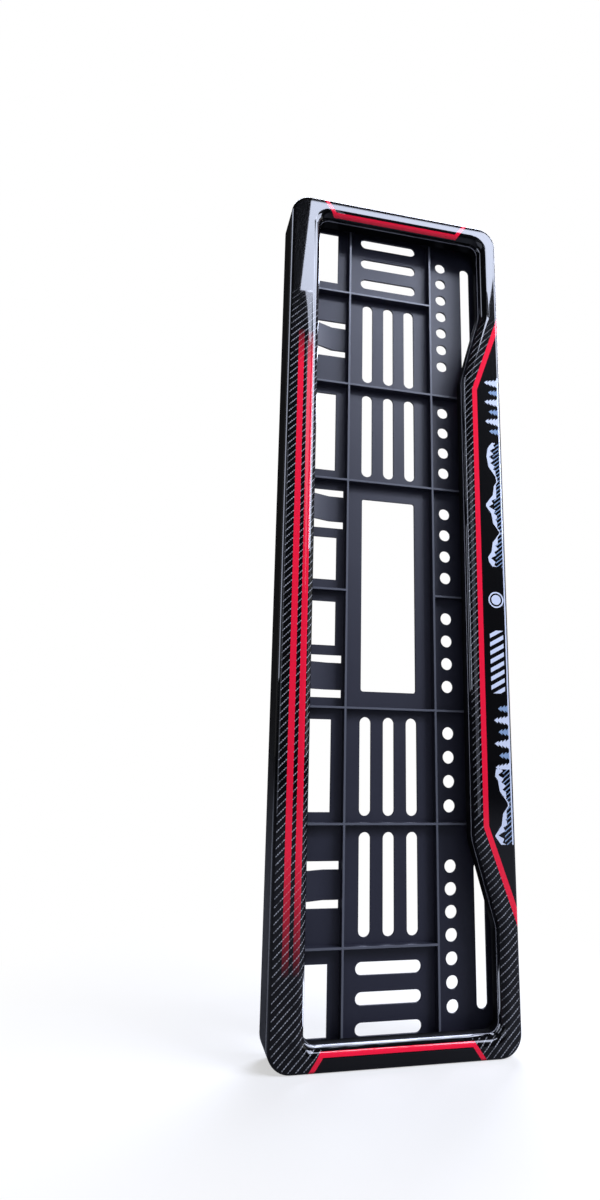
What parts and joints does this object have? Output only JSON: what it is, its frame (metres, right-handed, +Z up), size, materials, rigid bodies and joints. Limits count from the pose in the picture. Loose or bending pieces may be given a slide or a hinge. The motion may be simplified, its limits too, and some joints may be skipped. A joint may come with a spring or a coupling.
{
  "type": "number plate holder",
  "caption": "Car number plate holder: a ribbed back tray with screw slots, round holes and spring tongues, and a glossy clip-over frame whose panel steps into the opening along a long side.",
  "frame": {"origin": "centre of the bounding box's bottom face, on the floor below the short end that the holder stands on", "axes": "+Z up the holder's length, +Y from its front to the side that is screwed to the car, +X across it from the latch side to the panel side"},
  "size_m": [0.142, 0.0252, 0.514],
  "materials": {
    "tray_plastic": "fine moulded texture",
    "frame_plastic": "high gloss with a printed carbon weave, red lines and a pale motif"
  },
  "bodies": {
    "root": {"back_plate": "tray_plastic", "front_frame": "frame_plastic"}
  },
  "joints": []
}
